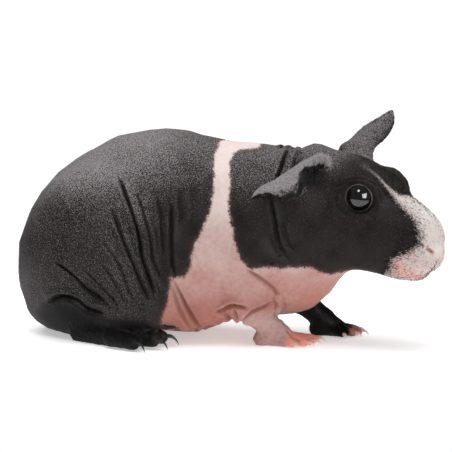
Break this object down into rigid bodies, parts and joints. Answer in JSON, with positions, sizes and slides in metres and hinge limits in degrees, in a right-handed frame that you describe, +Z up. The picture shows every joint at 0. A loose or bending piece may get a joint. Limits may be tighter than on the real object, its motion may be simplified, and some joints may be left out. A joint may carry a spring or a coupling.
{
  "type": "skinny pig, still model",
  "caption": "Life-size still model of a hairless guinea pig crouching on all fours, head raised and turned a little to its right.",
  "frame": {"origin": "middle of the animal's box on the floor that its feet and rump rest on", "axes": "+X towards the nose along the body, +Y to the animal's left, +Z up from the floor"},
  "size_m": [0.2132, 0.1032, 0.1097],
  "materials": {
    "black_skin": "charcoal bare skin with a fine light down, satin",
    "pink_skin": "bare pink skin, soft and slightly waxy",
    "ear_skin": "thin dark skin with a grey down",
    "eye": "black, wet gloss",
    "dark_claw": "black horn, polished",
    "pale_claw": "ivory horn, slightly glossy"
  },
  "bodies": {
    "root": {"torso": "black_skin", "neck": "black_skin", "head": "black_skin", "ear_left": "ear_skin", "eye_left": "eye", "hind_leg_left": "black_skin", "hind_foot_left": "black_skin", "foreleg_left": "black_skin", "forepaw_left": "pink_skin", "hind_claw_left_1": "dark_claw", "hind_claw_left_2": "dark_claw", "hind_claw_left_3": "dark_claw", "fore_claw_left_1": "pale_claw", "fore_claw_left_2": "pale_claw", "fore_claw_left_3": "pale_claw", "fore_claw_left_4": "pale_claw", "ear_right": "ear_skin", "eye_right": "eye", "hind_leg_right": "black_skin", "hind_foot_right": "black_skin", "foreleg_right": "pink_skin", "forepaw_right": "pink_skin", "hind_claw_right_1": "dark_claw", "hind_claw_right_2": "dark_claw", "hind_claw_right_3": "dark_claw", "fore_claw_right_1": "pale_claw", "fore_claw_right_2": "pale_claw", "fore_claw_right_3": "pale_claw", "fore_claw_right_4": "pale_claw"}
  },
  "joints": []
}
